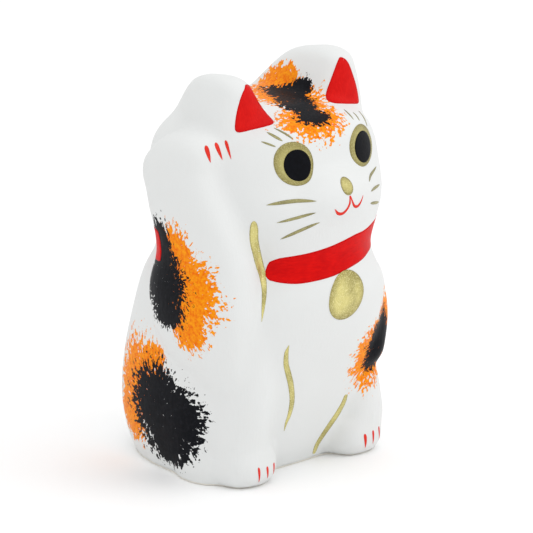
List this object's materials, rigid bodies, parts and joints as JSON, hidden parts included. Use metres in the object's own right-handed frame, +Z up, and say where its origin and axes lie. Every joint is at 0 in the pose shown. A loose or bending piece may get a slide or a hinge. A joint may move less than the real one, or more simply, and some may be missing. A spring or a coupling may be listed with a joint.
{
  "type": "beckoning cat figurine",
  "caption": "Hollow figurine of a seated cat in moulded paper, one forepaw raised beside its head, made of shells joined under seam paper and closed by a flat base.",
  "frame": {"origin": "on the underside of the base paper, under the cat's neck, at floor level", "axes": "+X to the cat's left, -Y to its front, +Z up"},
  "size_m": [0.0756, 0.0807, 0.1232],
  "materials": {
    "chalked_paper": "pressed paper with a smooth white chalk coat and hand-painted marks",
    "seam_paper": "thin fibrous paper under the same white chalk coat",
    "base_paper": "plain uncoated paper",
    "board": "grey card",
    "clay": "air-dried clay"
  },
  "bodies": {
    "root": {"front_shell": "chalked_paper", "back_shell": "chalked_paper", "right_flank_strip": "seam_paper", "right_shoulder_strip": "seam_paper", "right_ear_strip": "seam_paper", "crown_strip": "seam_paper", "left_ear_strip": "seam_paper", "left_shoulder_strip": "seam_paper", "left_flank_strip": "seam_paper", "base_paper": "base_paper", "base_board": "board", "clay_ballast": "clay"}
  },
  "joints": []
}
